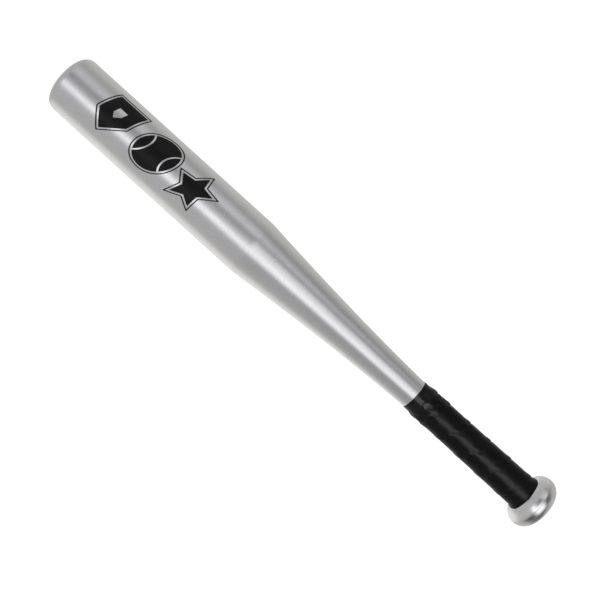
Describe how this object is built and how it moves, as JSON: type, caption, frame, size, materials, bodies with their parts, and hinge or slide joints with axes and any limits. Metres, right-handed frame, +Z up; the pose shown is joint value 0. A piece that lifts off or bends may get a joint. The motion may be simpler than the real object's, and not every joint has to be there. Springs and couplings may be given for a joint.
{
  "type": "baseball bat",
  "caption": "Short hollow aluminium baseball bat with a cylindrical barrel, a tapered handle, a wrapped black grip and a turned round knob.",
  "frame": {"origin": "on the surface the bat lies on, under the middle of its length and its axis", "axes": "+X along the bat's axis from the barrel end to the knob, +Z up, +Y across; the axis is level, one barrel radius above the surface"},
  "size_m": [0.531, 0.0522, 0.0526],
  "materials": {
    "satin_aluminium": "satin, drawn and fine-brushed, clear-coated",
    "polished_aluminium": "turned and polished",
    "weld_aluminium": "as welded",
    "plug_rubber": "moulded, matte",
    "sticky_tape": "double-sided adhesive cloth tape",
    "grip_leatherette": "smooth coated leatherette, semi-gloss",
    "gloss_tape": "glossy vinyl tape",
    "black_print": "screen print, smooth semi-matte"
  },
  "bodies": {
    "root": {"tube": "satin_aluminium", "barrel_end_plug": "plug_rubber", "knob": "polished_aluminium", "knob_weld": "weld_aluminium", "knob_plug": "plug_rubber", "grip_underlay": "sticky_tape", "grip_wrap": "grip_leatherette", "grip_end_tape": "gloss_tape", "print_home_plate": "black_print", "print_ball": "black_print", "print_star": "black_print"}
  },
  "joints": []
}
